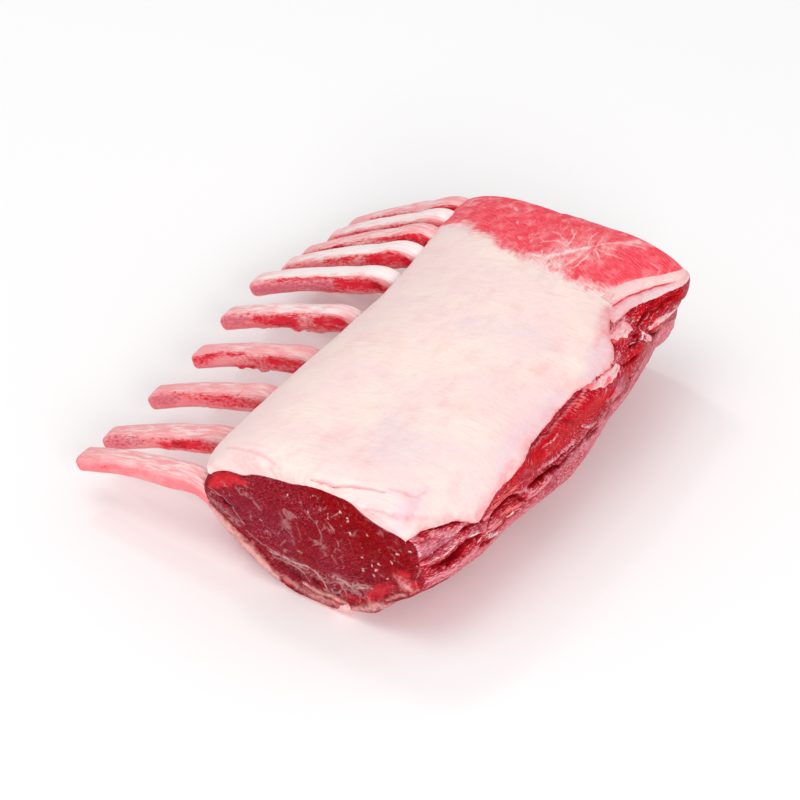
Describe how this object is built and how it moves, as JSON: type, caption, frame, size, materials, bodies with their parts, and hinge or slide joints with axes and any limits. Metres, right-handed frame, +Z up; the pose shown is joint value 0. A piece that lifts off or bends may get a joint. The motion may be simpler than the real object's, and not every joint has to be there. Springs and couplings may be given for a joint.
{
  "type": "frenched rack of lamb",
  "caption": "Raw frenched rack of lamb: a boat-shaped loin under a smooth fat cap, a red cap muscle at one end, and a row of bare rib bones curving out to one side",
  "frame": {"origin": "middle of the bounding box seen from above, on the surface that the rack lies on", "axes": "+X runs along the backbone from the loin-end cut to the shoulder-end cut, +Y from the chine side to the rib tips, +Z up through the fat cap"},
  "size_m": [0.1882, 0.1664, 0.0602],
  "materials": {
    "meat": "moist raw lamb loin, dark crimson with fine pale marbling",
    "fat": "firm pale back fat with a faint pink tint and a soft moist sheen",
    "cap": "moist pinkish-red muscle with white threads of connective tissue",
    "bone": "scraped rib bone, pale pink with red remnants along its sides"
  },
  "bodies": {
    "root": {"loin": "meat", "fat_cap": "fat", "cap_muscle": "cap", "seam_fat": "fat", "rib_01": "bone", "rib_02": "bone", "rib_03": "bone", "rib_04": "bone", "rib_05": "bone", "rib_06": "bone", "rib_07": "bone", "rib_08": "bone", "rib_09": "bone", "rib_10": "bone", "fat_scrap_1": "fat", "fat_scrap_2": "fat", "fat_scrap_3": "fat", "fat_scrap_4": "fat"}
  },
  "joints": []
}
